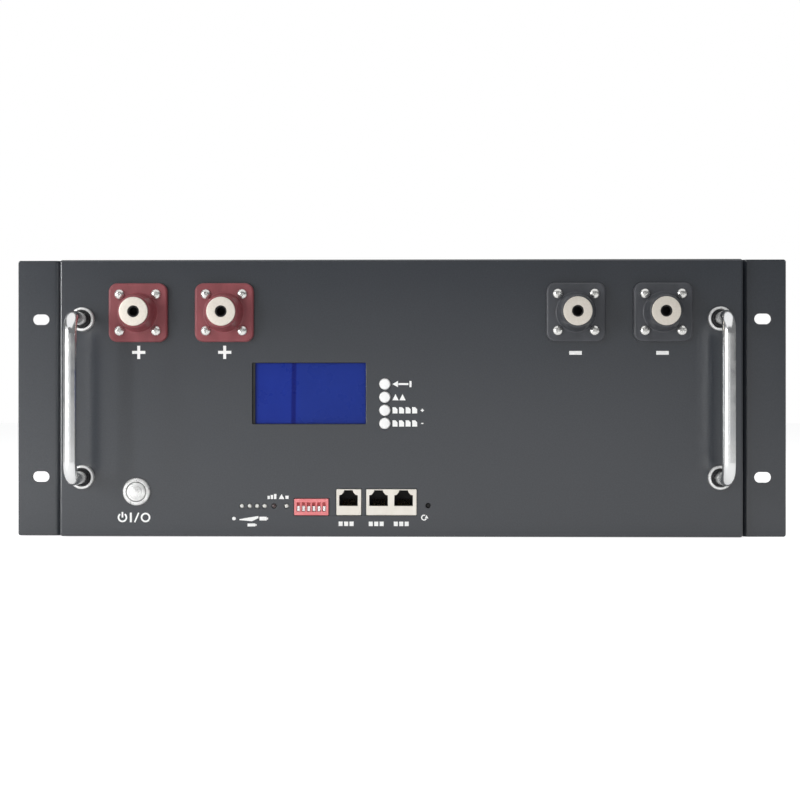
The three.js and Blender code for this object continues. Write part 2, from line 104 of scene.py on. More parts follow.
SHARP_ANGLE = math.radians(32)
WELD_DISTANCE = 1e-7
TINY = 1e-6


def to_mesh(name, bm):
    bmesh.ops.recalc_face_normals(bm, faces=bm.faces)
    mesh = bpy.data.meshes.new(name)
    bm.to_mesh(mesh)
    bm.free()
    return mesh


def add_piece(name, mesh, material, body=CASE, replaces=()):
    """Makes a smooth-shaded piece that rides on a body."""
    for face in mesh.polygons:
        face.use_smooth = True
    mesh.set_sharp_from_angle(angle=SHARP_ANGLE)
    mesh.materials.append(material)
    piece = bpy.data.objects.new(name, mesh)
    bpy.context.scene.collection.objects.link(piece)
    normals = piece.modifiers.new("even_normals", "WEIGHTED_NORMAL")
    normals.keep_sharp = True
    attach(piece, body)
    if replaces:
        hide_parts(*replaces)


def finish_mesh(name, bm, material, body=CASE, replaces=()):
    bmesh.ops.remove_doubles(bm, verts=bm.verts, dist=WELD_DISTANCE)
    add_piece(name, to_mesh(name, bm), material, body, replaces)


def join_rings(bm, first, second):
    """Faces between two rings of points. One ring may be a single point."""
    count = max(len(first), len(second))
    for i in range(count if count > 1 else 0):
        corners = []
        for ring, turn in ((first, i), (first, i + 1), (second, i + 1), (second, i)):
            corner = ring[turn % len(ring)]
            if corner not in corners:
                corners.append(corner)
        bm.faces.new(corners)


def arc(x, z, radius, start, angle, steps):
    """Points along an arc that starts and runs on by these degrees, both ends included."""
    turns = [math.radians(start + angle * step / steps) for step in range(steps + 1)]
    return [(x + radius * math.cos(turn), z + radius * math.sin(turn)) for turn in turns]


def quarter(steps, first=0):
    """Sine and cosine at even steps through a quarter turn."""
    turns = [math.pi / 2 * step / steps for step in range(first, steps + 1)]
    return [(math.sin(turn), math.cos(turn)) for turn in turns]


def rectangle(x0, x1, z0, z1, radius, steps=6, extra=()):
    """A rounded rectangle. extra: u values that get a point on both long sides."""
    def points(grow):
        r = max(radius + grow, TINY)
        left, right = x0 - grow + r, x1 + grow - r
        low, high = z0 - grow + r, z1 + grow - r
        outline = arc(right, low, r, -90, 90, steps) + arc(right, high, r, 0, 90, steps)
        outline += [(u, high + r) for u in sorted(extra, reverse=True)]
        outline += arc(left, high, r, 90, 90, steps) + arc(left, low, r, 180, 90, steps)
        outline += [(u, low - r) for u in sorted(extra)]
        return outline
    return points


def box_outline(low, high, radius, margin=0.0):
    """The outline of a box seen from the front, with a margin round it."""
    return rectangle(low.x - margin, high.x + margin, low.z - margin, high.z + margin, radius)


def circle(x, z, radius, steps=48):
    def points(grow):
        return arc(x, z, radius + grow, 0, 360, steps)[:-1]
    return points


def polygon(corners):
    """Any outline, anticlockwise. It grows along the bisector of each corner."""
    def points(grow):
        moved = []
        count = len(corners)
        for i, corner in enumerate(corners):
            here = Vector(corner)
            before = (here - Vector(corners[i - 1])).normalized()
            after = (Vector(corners[(i + 1) % count]) - here).normalized()
            out_a = Vector((before.y, -before.x))
            out_b = Vector((after.y, -after.x))
            bisector = (out_a + out_b) / (1 + out_a.dot(out_b))
            moved.append(tuple(here + bisector * grow))
        return moved
    return points


def mirrored(right, centre=0.0):
    """The points of a symmetrical outline, from its right half."""
    return [(2 * centre - x, z) for x, z in reversed(right)] + list(right)


def rounded_edges(depth, front, back=0.0, steps=4):
    """The profile of a plate's edge, from the front face to the back."""
    profile = [(-front * (1 - s), front * (1 - c)) for s, c in quarter(steps)]
    if not back:
        return profile + [(0.0, depth)]
    return profile + [(-back * (1 - c), depth - back * (1 - s)) for s, c in quarter(steps)]


def hole_edges(depth, rim, steps=3):
    return [(rim * (1 - s), rim * (1 - c)) for s, c in quarter(steps)] + [(0.0, depth)]


def inside(point, outline):
    u, v = point
    hit = False
    for (u0, v0), (u1, v1) in zip(outline, outline[1:] + outline[:1]):
        if (v0 > v) != (v1 > v) and u < (u1 - u0) * (v - v0) / (v1 - v0) + u0:
            hit = not hit
    return hit


def cap(bm, outlines, rings, folds=()):
    """Fills the flat area between the first outline and the others."""
    coords, verts, edges = [], [], []
    for outline, ring in zip(outlines, rings):
        start = len(coords)
        coords += [Vector(point) for point in outline]
        verts += ring
        count = len(outline)
        edges += [(start + i, start + (i + 1) % count) for i in range(count)]
    for fold in folds:
        on_fold = [i for i, point in enumerate(coords) if abs(point.x - fold) < TINY]
        on_fold.sort(key=lambda i: coords[i].y)
        edges.append((on_fold[0], on_fold[-1]))
    _, _, faces, origin, _, _ = delaunay_2d_cdt(coords, edges, [], 0, 1e-9, True)
    for face in faces:
        corners = [origin[i][0] for i in face]
        centre = sum((coords[i] for i in corners), Vector((0, 0))) / len(corners)
        if inside(centre, outlines[0]) and not any(inside(centre, hole) for hole in outlines[1:]):
            bm.faces.new([verts[i] for i in corners])


def behind(y):
    """Maps (u, v, depth) to a place at that depth behind the plane at y."""
    return lambda u, v, depth: Vector((u, y + depth, v))


def plate(bm, outer, holes=(), place=behind(FACE_Y), folds=()):
    """A closed plate. outer and each hole are (outline, profile); place maps (u, v, depth)."""
    fronts, backs = [], []
    for outline, profile in (outer, *holes):
        rings = []
        for grow, depth in profile:
            rings.append([bm.verts.new(place(u, v, depth)) for u, v in outline(grow)])
        for first, second in zip(rings, rings[1:]):
            join_rings(bm, first, second)
        fronts.append((outline(profile[0][0]), rings[0]))
        backs.append((outline(profile[-1][0]), rings[-1]))
    for side in (fronts, backs):
        cap(bm, [outline for outline, _ in side], [ring for _, ring in side], folds)


def plate_piece(name, outer, holes, material, place=behind(FACE_Y), replaces=(), folds=()):
    bm = bmesh.new()
    plate(bm, outer, holes, place, folds)
    finish_mesh(name, bm, material, replaces=replaces)


def lathe(bm, profile, origin, steps, upright=False):
    """Turns (radius, along) points about an axis along Y, or along Z if upright."""
    rings = []
    for radius, along in profile:
        ring = []
        for step in range(steps if radius > 1e-9 else 1):
            turn = 2 * math.pi * step / steps
            side, up = radius * math.cos(turn), radius * math.sin(turn)
            offset = (side, up, along) if upright else (side, along, up)
            ring.append(bm.verts.new(origin + Vector(offset)))
        rings.append(ring)
    pairs = list(zip(rings, rings[1:]))
    if len(rings[0]) > 1 and len(rings[-1]) > 1:
        pairs.append((rings[-1], rings[0]))
    for first, second in pairs:
        join_rings(bm, first, second)


def turned_piece(name, profile, centre, material, steps, body=CASE, replaces=(), y=FACE_Y):
    """A piece turned about Y. profile: (radius, depth behind y) in mm."""
    bm = bmesh.new()
    scaled = [(radius * MM, depth * MM) for radius, depth in profile]
    lathe(bm, scaled, Vector((centre.x, y, centre.z)), steps)
    finish_mesh(name, bm, material, body, replaces)


def sweep(bm, path, radius, sections):
    """A round bar along a path of points that lies in one plane of constant x."""
    rings = []
    across = Vector((1, 0, 0))
    for i, point in enumerate(path):
        before = path[max(i - 1, 0)]
        after = path[min(i + 1, len(path) - 1)]
        up = (after - before).normalized().cross(across)
        ring = []
        for section in range(sections):
            turn = 2 * math.pi * section / sections
            spoke = across * math.cos(turn) + up * math.sin(turn)
            ring.append(bm.verts.new(point + spoke * radius))
        rings.append(ring)
    for first, second in zip(rings, rings[1:]):
        join_rings(bm, first, second)
    bm.faces.new(rings[0])
    bm.faces.new(list(reversed(rings[-1])))


def block(bm, low, high, radius, segments=3):
    """A box with rounded edges."""
    matrix = Matrix.Translation((low + high) / 2) @ Matrix.Diagonal((*(high - low), 1))
    made = bmesh.ops.create_cube(bm, size=1, matrix=matrix)
    edges = {edge for vert in made["verts"] for edge in vert.link_edges}
    bmesh.ops.bevel(
        bm, geom=list(edges), offset=radius, segments=segments, profile=0.5, affect="EDGES")


# --- Materials. Texture coordinates are object coordinates, in metres ---


class Look:
    """A Principled material whose colour, roughness and bump come from noise."""

    def __init__(self, name, slot, roughness, metallic=0.0, **sockets):
        self.material = bpy.data.materials.new(f"look_{name}")
        self.material.use_nodes = True
        self.nodes = self.material.node_tree.nodes
        self.links = self.material.node_tree.links
        self.shader = self.nodes["Principled BSDF"]
        for socket, value in {"Roughness": roughness, "Metallic": metallic, **sockets}.items():
            self.shader.inputs[socket.replace("_", " ")].default_value = value
        self.place = self.nodes.new("ShaderNodeTexCoord").outputs["Object"]
        self.normal = None

    def feed(self, socket, value):
        """Links a socket to a source, or gives it a number or a colour."""
        if isinstance(value, bpy.types.NodeSocket):
            self.links.new(value, socket)
        else:
            socket.default_value = value

    def noise(self, size, detail=3.0, stretch=(1, 1, 1)):
        """Noise with features of about this size in metres, longer along stretched axes."""
        scaled = self.nodes.new("ShaderNodeMapping")
        scaled.inputs["Scale"].default_value = [1 / (size * factor) for factor in stretch]
        self.links.new(self.place, scaled.inputs["Vector"])
        texture = self.nodes.new("ShaderNodeTexNoise")
        texture.inputs["Scale"].default_value = 1.0
        texture.inputs["Detail"].default_value = detail
        self.links.new(scaled.outputs["Vector"], texture.inputs["Vector"])
        return texture.outputs["Fac"]

    def between(self, source, low, high, start=0.3, end=0.7):
        """Maps the range start to end of a source to the range low to high."""
        node = self.nodes.new("ShaderNodeMapRange")
        for socket, value in zip(("From Min", "From Max", "To Min", "To Max"),
                                 (start, end, low, high)):
            node.inputs[socket].default_value = value
        self.links.new(source, node.inputs["Value"])
        return node.outputs["Result"]

    def compute(self, operation, *values):
        node = self.nodes.new("ShaderNodeMath")
        node.operation = operation
        for socket, value in zip(node.inputs, values):
            self.feed(socket, value)
        return node.outputs[0]

    def axis(self, name):
        """One object coordinate, in metres."""
        split = self.nodes.new("ShaderNodeSeparateXYZ")
        self.links.new(self.place, split.inputs["Vector"])
        return split.outputs[name]

    def blend(self, factor, first, second):
        """A mix of two colours; either may be a socket."""
        node = self.nodes.new("ShaderNodeMix")
        node.data_type = "RGBA"
        self.links.new(factor, node.inputs["Factor"])
        colors = [socket for socket in node.inputs if socket.type == "RGBA"]
        for socket, value in zip(colors, (first, second)):
            self.feed(socket, (*value, 1.0) if isinstance(value, tuple) else value)
        return [socket for socket in node.outputs if socket.type == "RGBA"][0]

    def paint(self, source):
        self.links.new(source, self.shader.inputs["Base Color"])
        return self

    def color(self, first, second, size, detail=3.0, stretch=(1, 1, 1)):
        """The base colour wanders between two colours."""
        factor = self.between(self.noise(size, detail, stretch), 0.0, 1.0)
        return self.paint(self.blend(factor, first, second))

    def roughness(self, low, high, size, detail=3.0, stretch=(1, 1, 1)):
        source = self.between(self.noise(size, detail, stretch), low, high)
        self.links.new(source, self.shader.inputs["Roughness"])
        return self

    def bump(self, size, height, detail=3.0, stretch=(1, 1, 1)):
        """Adds relief of this height in metres; calls stack up."""
        node = self.nodes.new("ShaderNodeBump")
        node.inputs["Strength"].default_value = 1.0
        node.inputs["Distance"].default_value = height
        self.links.new(self.noise(size, detail, stretch), node.inputs["Height"])
        if self.normal:
            self.links.new(self.normal, node.inputs["Normal"])
        self.normal = node.outputs["Normal"]
        self.links.new(self.normal, self.shader.inputs["Normal"])
        return self


def powder_coat():
    """Dark paint with a fine texture under a clear, slightly rough gloss."""
    look = Look("powder_coat", "powder_coat", 0.40, Specular_IOR_Level=0.2, Coat_Weight=1.0,
                Coat_Roughness=0.18, Coat_IOR=1.7)
    fine = look.between(look.noise(0.9 * MM, 4.0), 0.0, 1.0)
    base = look.blend(fine, (0.016, 0.020, 0.027), (0.023, 0.028, 0.036))
    handled = look.between(look.noise(90 * MM, 2.0), 0.0, 0.35)
    look.paint(look.blend(handled, base, (0.024, 0.027, 0.034)))
    look.roughness(0.36, 0.46, 30 * MM, 4.0)
    look.bump(1.6 * MM, 0.035 * MM, 2.0)
    look.bump(0.45 * MM, 0.02 * MM)
    return look.material


def moulded(name, dark, light, roughness, slot=None, grain=0.7 * MM):
    """Moulded plastic with a fine spark-eroded grain and faint flow marks."""
    look = Look(name, slot or name, roughness)
    look.color(dark, light, 7 * MM, stretch=(1, 1, 2.5))
    look.roughness(roughness - 0.07, roughness + 0.08, 4 * MM)
    look.bump(grain, 0.02 * MM)
    return look.material


def lens(name, dark, light, roughness):
    look = Look(name, "clear_plastic", roughness, Coat_Weight=0.5, Coat_Roughness=0.08)
    look.color(dark, light, 1.0 * MM)
    look.roughness(roughness - 0.05, roughness + 0.05, 1.0 * MM)
    look.bump(0.8 * MM, 0.01 * MM)
    return look.material


def display_blue():
    """An unlit blue display behind a glossy window, darker along one leaning line across it, and more
    even in tone to the right of that line.
    """
    look = Look("display_blue", "blue_display", 0.3, Specular_IOR_Level=0.2)
    low, high = span("lcd_window")
    width = high.x - low.x
    soft = look.between(look.noise(26 * MM, 2.0), 0.0, 1.0)
    base = look.blend(soft, (0.006, 0.022, 0.225), (0.009, 0.029, 0.265))
    right = look.between(
        look.axis("X"), 0.0, 0.75, low.x + 0.39 * width, low.x + 0.43 * width)
    base = look.blend(right, base, (0.009, 0.028, 0.225))
    lean = 0.012
    dark_line_x = low.x + 0.373 * width - lean * (low.z + high.z) / 2
    across = look.compute("SUBTRACT", look.axis("X"), dark_line_x)
    across = look.compute("MULTIPLY_ADD", look.axis("Z"), -lean, across)
    distance = look.compute("ABSOLUTE", across)
    dark_line = look.between(distance, 1.0, 0.0, 1.0 * MM, 1.9 * MM)
    look.paint(look.blend(dark_line, base, (0.002, 0.008, 0.150)))
    look.roughness(0.24, 0.36, 12 * MM)
    look.bump(5 * MM, 0.004 * MM)
    return look.material


def surface(name, slot, roughness, metallic, dark, light, grain, rough, relief, along=1):
    """A metal or a varnish. grain: size and detail; rough: low, high, size and detail;
    relief: size, height and detail; along: how far marks stretch along Z."""
    look = Look(name, slot, roughness, metallic)
    look.color(dark, light, *grain)
    look.roughness(*rough, stretch=(1, 1, along))
    look.bump(*relief, stretch=(1, 1, along))
    return look.material


POWDER = powder_coat()
CHROME = surface(
    "chrome", "chrome", 0.14, 1.0, (0.86, 0.87, 0.88), (0.93, 0.93, 0.92), (18 * MM,),
    (0.14, 0.24, 9 * MM, 5.0), (14 * MM, 0.02 * MM, 2.0))
NICKEL = surface(
    "satin_nickel", "satin_nickel", 0.36, 0.55, (0.77, 0.71, 0.62), (0.84, 0.785, 0.71),
    (1.4 * MM, 4.0), (0.30, 0.46, 2.5 * MM, 4.0), (0.5 * MM, 0.02 * MM, 4.0))
STEEL = surface(
    "polished_steel", "polished_steel", 0.30, 0.5, (0.74, 0.74, 0.73), (0.97, 0.97, 0.96),
    (3.5 * MM,), (0.24, 0.38, 3 * MM, 4.0), (1.2 * MM, 0.012 * MM))
ZINC = surface(
    "screw_zinc", "polished_steel", 0.25, 1.0, (0.74, 0.74, 0.72), (0.90, 0.89, 0.86), (1.2 * MM,),
    (0.18, 0.34, 1.0 * MM), (0.4 * MM, 0.01 * MM))
# Black screws. This material is also painted shade where it colours the collars deep in the handle
# cups.
BLACK_SCREW_AND_SHADE = surface(
    "black_screw_and_painted_shade", "black_plastic", 0.35, 0.6, (0.018, 0.018, 0.02), (0.04, 0.04, 0.042),
    (0.8 * MM,), (0.28, 0.45, 1.0 * MM), (0.35 * MM, 0.01 * MM))
GOLD = surface(
    "gold_contact", "satin_nickel", 0.25, 1.0, (0.83, 0.62, 0.27), (0.93, 0.74, 0.38), (1.0 * MM,),
    (0.18, 0.32, 1.0 * MM), (0.4 * MM, 0.006 * MM))
ALUMINIUM = surface(
    "bare_aluminium", "bare_aluminium", 0.38, 1.0, (0.60, 0.60, 0.61), (0.72, 0.72, 0.73),
    (6 * MM,), (0.30, 0.46, 1.5 * MM), (0.8 * MM, 0.01 * MM), 12)
BOARD = surface(
    "circuit_board", "circuit_board", 0.4, 0.0, (0.008, 0.075, 0.028), (0.016, 0.12, 0.045),
    (3 * MM, 5.0), (0.3, 0.5, 5 * MM), (1.2 * MM, 0.03 * MM, 2.0))
RED = moulded("red_plastic", (0.200, 0.042, 0.050), (0.258, 0.059, 0.069), 0.42)
BLACK = moulded("black_plastic", (0.046, 0.049, 0.056), (0.062, 0.065, 0.074), 0.42)
WHITE = moulded("white_plastic", (0.90, 0.90, 0.89), (0.95, 0.95, 0.94), 0.35)
DIP_RED = moulded("dip_red", (0.76, 0.20, 0.21), (0.86, 0.27, 0.28), 0.4)
IVORY = moulded("ivory_plastic", (0.80, 0.76, 0.68), (0.87, 0.83, 0.76), 0.38)
# Near-black: the own colour of black parts such as the foam seal. It is painted shade where it colours
# the thread inserts in the terminal posts and the wide left side of the display gasket.
BLACK_AND_PAINTED_SHADE = moulded(
    "black_and_painted_shade", (0.006, 0.006, 0.006), (0.010, 0.010, 0.010), 0.6, "black_plastic")
CELL_WRAP = moulded("cell_wrap", (0.02, 0.09, 0.28), (0.03, 0.13, 0.36), 0.3, grain=3 * MM)
BLUE = display_blue()
INK = Look("ink_white", "white_plastic", 0.55).color(
    (0.88, 0.88, 0.87), (0.94, 0.94, 0.93), 0.8 * MM).bump(0.3 * MM, 0.01 * MM).material
LENS = lens("lens_milky", (0.62, 0.62, 0.58), (0.78, 0.78, 0.74), 0.2)
LENS_DARK = lens("lens_dark", (0.045, 0.028, 0.028), (0.075, 0.045, 0.045), 0.25)

# --- Sheet metal ---

HOLE_RIM = 0.25 * MM


def circular_hole(centre, radius, steps=40, rim=HOLE_RIM):
    return circle(centre.x, centre.z, radius, steps), hole_edges(PANEL_SHEET, rim)


def box_hole(node, clearance, corner):
    return box_outline(*span(node), corner, clearance), hole_edges(PANEL_SHEET, HOLE_RIM)


def front_panel():
    """A folded pan: a face with rounded bends, and flanges that run back over the case."""
    bend, corner = 1.5 * MM, 1.8 * MM
    depth = PANEL_HIGH.y - PANEL_LOW.y
    switch_hole, terminal_hole, button_hole, small_hole = 8.2 * MM, 9 * MM, 3.8 * MM, 1.65 * MM
    folded_edge = rounded_edges(depth, bend, steps=6)
    folded_edge += [(-SHEET, depth), (-SHEET, PANEL_SHEET)]
    outer = rectangle(-HALF_WIDTH, HALF_WIDTH, 0, HEIGHT, corner), folded_edge
    holes = [box_hole("lcd_window", -LCD_OVERLAP, 0.8 * MM),
             circular_hole(middle("power_switch_body"), switch_hole),
             circular_hole(middle("reset_button"), small_hole, 24),
             box_hole("dip_switch_body", GAP, 0.5 * MM)]
    holes += [circular_hole(middle(f"terminal_post_{name}"), terminal_hole) for name in TERMINALS]
    holes += [circular_hole(middle(f"menu_button_{number}"), button_hole)
              for number in MENU_BUTTONS]
    holes += [circular_hole(Vector((x, 0, LED_Z)), small_hole, 24, 0.15 * MM) for x in LED_X]
    holes += [box_hole(name, GAP, 0.5 * MM) for name in SOCKETS]
    plate_piece("panel_face", outer, holes, POWDER, replaces=["front_panel"])


def rack_ear(side_name):
    """A flat blank with its slots, folded once along its length."""
    side = SIDES[side_name]
    bend, bend_steps = 4.4 * MM, 8
    low, high = EAR_LOW, EAR_HIGH
    front_length = high.x - low.x - bend
    bend_length = bend * math.pi / 2
    blank = front_length + bend_length + (high.y - low.y - bend)
    folds = [front_length + bend_length * step / bend_steps for step in range(bend_steps + 1)]

    def place(u, v, depth):
        if u <= front_length:
            x, y = high.x - u, low.y + depth
        elif u <= front_length + bend_length:
            turn = (u - front_length) / bend
            x = low.x + bend - (bend - depth) * math.sin(turn)
            y = low.y + bend - (bend - depth) * math.cos(turn)
        else:
            x, y = low.x + depth, low.y + bend + (u - front_length - bend_length)
        return Vector((side * x, y, v))

    edge = rounded_edges(EAR_SHEET, 0.35 * MM, 0.2 * MM, 3)
    outer = rectangle(0, blank, low.z, high.z, 1.6 * MM, extra=folds), edge
    holes = []
    u, half_u, half_v = high.x - SLOT_X, SLOT_LENGTH / 2, SLOT_HEIGHT / 2
    end_radius = half_v - 0.01 * MM
    for v in ((HEIGHT - SLOT_SPACING) / 2, (HEIGHT + SLOT_SPACING) / 2):
        slot = rectangle(u - half_u, u + half_u, v - half_v, v + half_v, end_radius, 8)
        holes.append((slot, hole_edges(EAR_SHEET, 0.2 * MM)))
    plate_piece(
        f"ear_{side_name}", outer, holes, POWDER, place, [f"rack_ear_{side_name}"], folds)


def folded_outline(corners, thickness, radius, steps=5):
    """The section of a sheet folded to the left at every corner between its two ends."""
    outer, inner = [], []
    for i, corner in enumerate(corners):
        here = Vector(corner)
        if i in (0, len(corners) - 1):
            other = Vector(corners[1] if i == 0 else corners[-2])
            along = (other - here).normalized() * (1 if i == 0 else -1)
            outer.append(here)
            inner.append(here + Vector((-along.y, along.x)) * thickness)
            continue
        before = (here - Vector(corners[i - 1])).normalized()
        left = Vector((-before.y, before.x))
        centre = here - before * radius + left * radius
        for sine, cosine in quarter(steps):
            out = before * sine - left * cosine
            outer.append(centre + out * radius)
            inner.append(centre + out * (radius - thickness))
    return [tuple(point) for point in outer + inner[::-1]]


def chassis_tray():
    """Bottom, sides and lips are one folded sheet; the back wall is set into it."""
    top, lip, bend = TRAY_HIGH.z, 12 * MM, 2.4 * MM
    corners = mirrored([(HALF_WIDTH, 0), (HALF_WIDTH, top), (HALF_WIDTH - lip, top)])
    section = folded_outline(corners, SHEET, bend)
    front = PANEL_HIGH.y + GAP
    edge = rounded_edges(TRAY_HIGH.y - front, 0.3 * MM, 0.3 * MM, 2)
    plate_piece("tray_sheet", (polygon(section), edge), (), POWDER, behind(front),
                ["chassis_tray"])
    inset, wall_depth, wall_edge = SHEET + 0.25 * MM, 10 * MM, 0.9 * MM
    side, shoulder = HALF_WIDTH - inset, HALF_WIDTH - lip - GAP
    wall = polygon(mirrored(
        [(side, inset), (side, top - inset), (shoulder, top - inset), (shoulder, top)]))
    rear = TRAY_HIGH.y - 0.2 * MM
    plate_piece("tray_back_wall", (wall, rounded_edges(wall_depth, wall_edge)), (), POWDER,
                lambda u, v, depth: Vector((u, rear - depth, v)), ["chassis_tray"])


def cover_screw_places():
    """A row of screws along each side of the cover, and a row along the back."""
    inset, rows, columns = 6 * MM, 5, 5
    near = COVER_LOW.y + 24 * MM
    far = COVER_HIGH.y - inset
    places = []
    for side in (-1, 1):
        for row in range(rows):
            places.append((side * (HALF_WIDTH - inset), near + (far - near) * row / (rows - 1)))
    for column in range(1, columns - 1):
        places.append((-HALF_WIDTH + 2 * HALF_WIDTH * column / (columns - 1), far))
    return places


def top_cover():
    """A flat lid with countersunk holes and lightly rounded edges."""
    head, hole, sunk = 3.3 * MM, 1.7 * MM, 1.3 * MM
    countersink = [(head - hole, 0.0), (0.0, sunk), (0.0, SHEET)]
    holes = [(circle(x, y, hole, 32), countersink) for x, y in cover_screw_places()]
    outer = rectangle(-HALF_WIDTH, HALF_WIDTH, COVER_LOW.y, COVER_HIGH.y, 1.5 * MM)
    plate_piece("cover_sheet", (outer, rounded_edges(SHEET, 0.5 * MM, 0.2 * MM)), holes, POWDER,
                lambda u, v, depth: Vector((u, v, COVER_HIGH.z - depth)), ["top_cover"])


def cover_seal():
    """A foam strip between the lid and the tray, along the sides and the back."""
    inset, width = 0.8 * MM, 10 * MM
    thickness = COVER_HIGH.z - SHEET - TRAY_HIGH.z
    front, back = COVER_LOW.y + inset, COVER_HIGH.y - inset
    outer = HALF_WIDTH - inset
    inner = outer - width
    strip = polygon(mirrored(
        [(inner, back - width), (inner, front), (outer, front), (outer, back)]))
    plate_piece("cover_foam", (strip, [(0.0, 0.0), (0.0, thickness)]), (), BLACK_AND_PAINTED_SHADE,
                lambda u, v, depth: Vector((u, v, TRAY_HIGH.z + depth)))


# --- Screws ---

PAN_RADIUS = 3.2 * MM
PAN_HEIGHT = 2.1 * MM
FLAT_RADIUS = 3.1 * MM
SHANK = 1.6 * MM
SCREW_TURN = 37                   # degrees from each cross to the next one
SCREW_PITCH = 23.4 * MM           # between the screws of a terminal


def cross(arm, half):
    """The outline of a cross: how far its arms reach, and half their width."""
    return [(-half, -arm), (half, -arm), (half, -half), (arm, -half), (arm, half), (half, half),
            (half, arm), (-half, arm), (-half, half), (-arm, half), (-arm, -half), (-half, -half)]


def screw_mesh(name, profile, top, recess_size, recess_depth):
    """A screw head turned about Z with a tapered cross cut into its top."""
    head_bm, cross_bm = bmesh.new(), bmesh.new()
    lathe(head_bm, profile, Vector((0, 0, 0)), 40, upright=True)
    plan = cross(recess_size, recess_size * 0.2)
    rings = []
    for z, factor in ((recess_depth, 1.0), (-recess_depth, 0.62)):
        rings.append([cross_bm.verts.new((u * factor, v * factor, z)) for u, v in plan])
    join_rings(cross_bm, *rings)
    cross_bm.faces.new(rings[0])
    cross_bm.faces.new(list(reversed(rings[1])))
    head = bpy.data.objects.new(name, to_mesh(name, head_bm))
    tool = bpy.data.objects.new("recess", to_mesh("recess", cross_bm))
    tool.location.z = top
    for part in (head, tool):
        bpy.context.scene.collection.objects.link(part)
    cut = head.modifiers.new("recess", "BOOLEAN")
    cut.operation = "DIFFERENCE"
    cut.object = tool
    cut.solver = "EXACT"
    graph = bpy.context.evaluated_depsgraph_get()
    made = bpy.data.meshes.new_from_object(head.evaluated_get(graph))
    bpy.data.objects.remove(head)
    bpy.data.objects.remove(tool)
    return made


def pan_head():
    """The profile of a pan head and a short shank, from the axis to the axis."""
    steps, crown, rim, length = 8, 0.9 * PAN_HEIGHT, 0.25, 2 * MM
    profile = [(0, PAN_HEIGHT)]
    for step, (sine, cosine) in enumerate(quarter(steps, 1), 1):
        flat = (PAN_RADIUS - crown) * min(step / 3, 1)
        profile.append((flat + crown * sine * step / steps,
                        PAN_HEIGHT * (rim + (1 - rim) * cosine ** 0.6)))
    return profile + [(PAN_RADIUS, 0), (SHANK, 0), (SHANK, -length), (0, -length)]


def flat_head():
    """The profile of a countersunk head and its shank, from the axis to the axis."""
    edge, rim, cone, length = 0.1 * MM, 0.15 * MM, 1.25 * MM, 4 * MM
    return [(0, 0), (FLAT_RADIUS - edge, 0), (FLAT_RADIUS, -rim), (SHANK, -cone),
            (SHANK, -length), (0, -length)]


def place_screw(name, mesh, origin, outward, turn, material):
    """Sets a copy of a screw so that it points along outward, turned about its own axis."""
    aim = Vector(outward).to_track_quat("Z", "Y").to_matrix().to_4x4()
    spin = Matrix.Rotation(math.radians(turn), 4, "Z")
    copy = mesh.copy()
    copy.name = name
    copy.transform(Matrix.Translation(origin) @ aim @ spin)
    add_piece(name, copy, material)


def flange_screw_places(name):
    """The four corners of a terminal's flange that hold its screws."""
    centre = middle(f"terminal_housing_{name}")
    reach = SCREW_PITCH / 2
    return [(centre.x + dx * reach, centre.z + dz * reach) for dx in (-1, 1) for dz in (-1, 1)]


def all_screws():
    pan = screw_mesh("pan_screw", pan_head(), PAN_HEIGHT, recess_size=1.75 * MM, recess_depth=1.1 * MM)
    flat = screw_mesh("flat_screw", flat_head(), 0, recess_size=1.8 * MM, recess_depth=1.0 * MM)
    sunk = 0.05 * MM
    screws = []
    for name in TERMINALS:
        face = span(f"terminal_housing_{name}")[1].y - FLANGE_THICKNESS
        for number, (x, z) in enumerate(flange_screw_places(name), 1):
            screws.append(
                (f"terminal_screw_{name}_{number}", pan, (x, face, z), (0, -1, 0), ZINC))
    for number, (x, y) in enumerate(cover_screw_places(), 1):
        screws.append((f"cover_screw_{number:02d}", flat, (x, y, COVER_HIGH.z - sunk), (0, 0, 1),
                       BLACK_SCREW_AND_SHADE))
    rows, columns = (0.14, 0.38, 0.62, 0.86), (37.8 * MM, 75.6 * MM)
    ear_places = [(EAR_LOW.y + column, HEIGHT * row) for row in rows for column in columns]
    for side_name, side in SIDES.items():
        x = side * (EAR_LOW.x + EAR_SHEET)
        for number, (y, z) in enumerate(ear_places, 1):
            screws.append(
                (f"ear_screw_{side_name}_{number}", pan, (x, y, z), (side, 0, 0), BLACK_SCREW_AND_SHADE))
    for count, (name, mesh, origin, outward, material) in enumerate(screws, 1):
        place_screw(name, mesh, origin, outward, SCREW_TURN * count, material)


# --- Handles ---

TUBE_RADIUS = 4.15 * MM
BEND_RADIUS = 11 * MM


def handle(side_name):
    """A bow of round bar: out of the lower ferrule, up, and back into the upper one."""
    lower, upper = (middle(f"ferrule_{side_name}_{level}") for level in LEVELS)
    bar_y = span(f"handle_{side_name}")[0].y + TUBE_RADIUS
    foot_y = FACE_Y - 0.1 * MM
    bend_y, bend_steps = bar_y + BEND_RADIUS, 14
    parts = [step / 6 for step in range(6)]
    z0, z1 = lower.z + BEND_RADIUS, upper.z - BEND_RADIUS
    path = [(foot_y + (bend_y - foot_y) * part, lower.z) for part in parts]
    path += [(bend_y - BEND_RADIUS * s, z0 - BEND_RADIUS * c) for s, c in quarter(bend_steps)[:-1]]
    path += [(bar_y, z0 + (z1 - z0) * part) for part in (*parts, 1)]
    path += [(bend_y - BEND_RADIUS * c, z1 + BEND_RADIUS * s) for s, c in quarter(bend_steps, 1)]
    path += [(bend_y + (foot_y - bend_y) * part, upper.z) for part in (*parts[1:], 1)]
    bm = bmesh.new()
    sweep(bm, [Vector((lower.x, y, z)) for y, z in path], TUBE_RADIUS, 40)
    finish_mesh(f"bow_{side_name}", bm, CHROME, replaces=[f"handle_{side_name}"])


